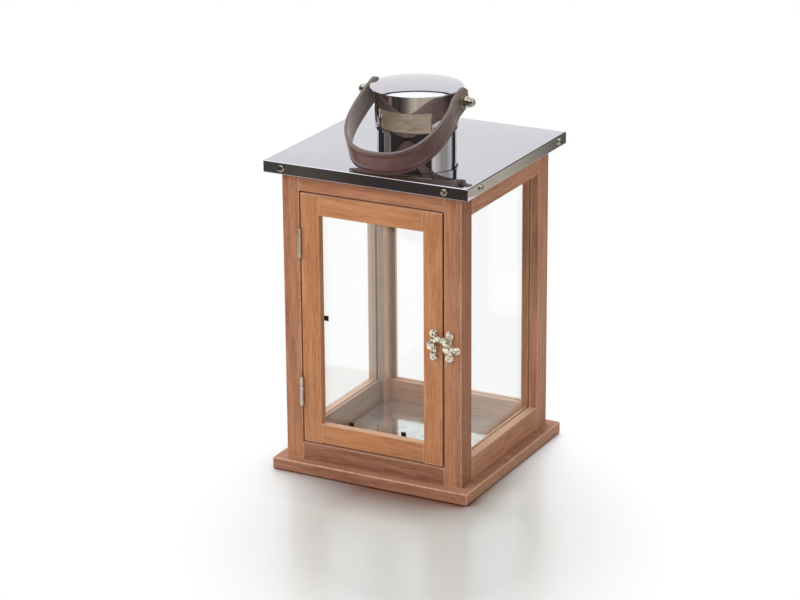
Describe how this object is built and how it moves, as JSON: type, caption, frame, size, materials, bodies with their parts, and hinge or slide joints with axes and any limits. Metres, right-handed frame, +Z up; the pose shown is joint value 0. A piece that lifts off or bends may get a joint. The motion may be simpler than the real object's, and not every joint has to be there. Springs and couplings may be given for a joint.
{
  "type": "candle lantern",
  "caption": "Square glazed wooden candle lantern with a hinged, latched door, a polished sheet-steel roof and chimney, and a swinging leather carrying strap.",
  "frame": {"origin": "centre of the base board's underside", "axes": "+Z up; the door faces -Y; +X to the right seen from the front"},
  "size_m": [0.1862, 0.1862, 0.3208],
  "materials": {
    "frame_wood": "brown stain, worn edges",
    "door_wood": "lighter brown stain",
    "glass": "clear sheet",
    "polished_steel": "mirror polished",
    "bright_fittings": "bright plated",
    "strap_leather": "dark brown, pale cut edge",
    "zinc_sheet": "mottled zinc coat",
    "dark_clips": "dark oxide",
    "latch_metal": "worn cast plating",
    "plain_steel": "plain"
  },
  "bodies": {
    "case": {"back_rail_high": "frame_wood", "back_rail_low": "frame_wood", "base_board": "frame_wood", "base_screws": "plain_steel", "chimney_cap": "polished_steel", "chimney_lid": "polished_steel", "chimney_pipe": "polished_steel", "chimney_rivets": "polished_steel", "door_stop": "frame_wood", "floor_tray": "zinc_sheet", "front_rail_high": "frame_wood", "front_rail_low": "frame_wood", "hinge_pins": "plain_steel", "hinge_post_leaf_high": "plain_steel", "hinge_post_leaf_low": "plain_steel", "hinge_post_screws": "plain_steel", "latch_pivot": "latch_metal", "latch_post_plate": "latch_metal", "latch_post_screws": "latch_metal", "left_rail_high": "frame_wood", "left_rail_low": "frame_wood", "pane_back": "glass", "pane_left": "glass", "pane_right": "glass", "post_back_left": "frame_wood", "post_back_right": "frame_wood", "post_front_left": "frame_wood", "post_front_right": "frame_wood", "right_rail_high": "frame_wood", "right_rail_low": "frame_wood", "roof_cover": "polished_steel", "roof_screws": "bright_fittings", "strap_nuts": "bright_fittings", "strap_spacers": "plain_steel", "strap_studs": "plain_steel", "strap_washers": "bright_fittings", "top_board": "frame_wood", "tray_nails": "zinc_sheet"},
    "door": {"door_pane": "glass", "door_rail_high": "door_wood", "door_rail_low": "door_wood", "door_stile_left": "door_wood", "door_stile_right": "door_wood", "glazing_clips": "dark_clips", "hinge_door_leaf_low": "plain_steel", "hinge_door_leaf_high": "plain_steel", "hinge_door_screws": "plain_steel", "latch_keeper": "latch_metal", "latch_keeper_screws": "latch_metal"},
    "latch_hook": {"latch_hook": "latch_metal"},
    "handle": {"handle_strap": "strap_leather"}
  },
  "joints": [
    {"name": "door_hinge", "type": "hinge", "parent": "case", "child": "door", "pos_m": [-0.06485, -0.0824, 0.13355], "axis": [0, 0, -1], "range_deg": [0, 120]},
    {"name": "latch_pivot", "type": "hinge", "parent": "case", "child": "latch_hook", "pos_m": [0.0706, -0.0861, 0.1304], "axis": [0, 1, 0], "range_deg": [0, 85]},
    {"name": "handle_swing", "type": "hinge", "parent": "case", "child": "handle", "pos_m": [0, 0, 0.3093], "axis": [-1, 0, 0], "range_deg": [0, 220]}
  ]
}
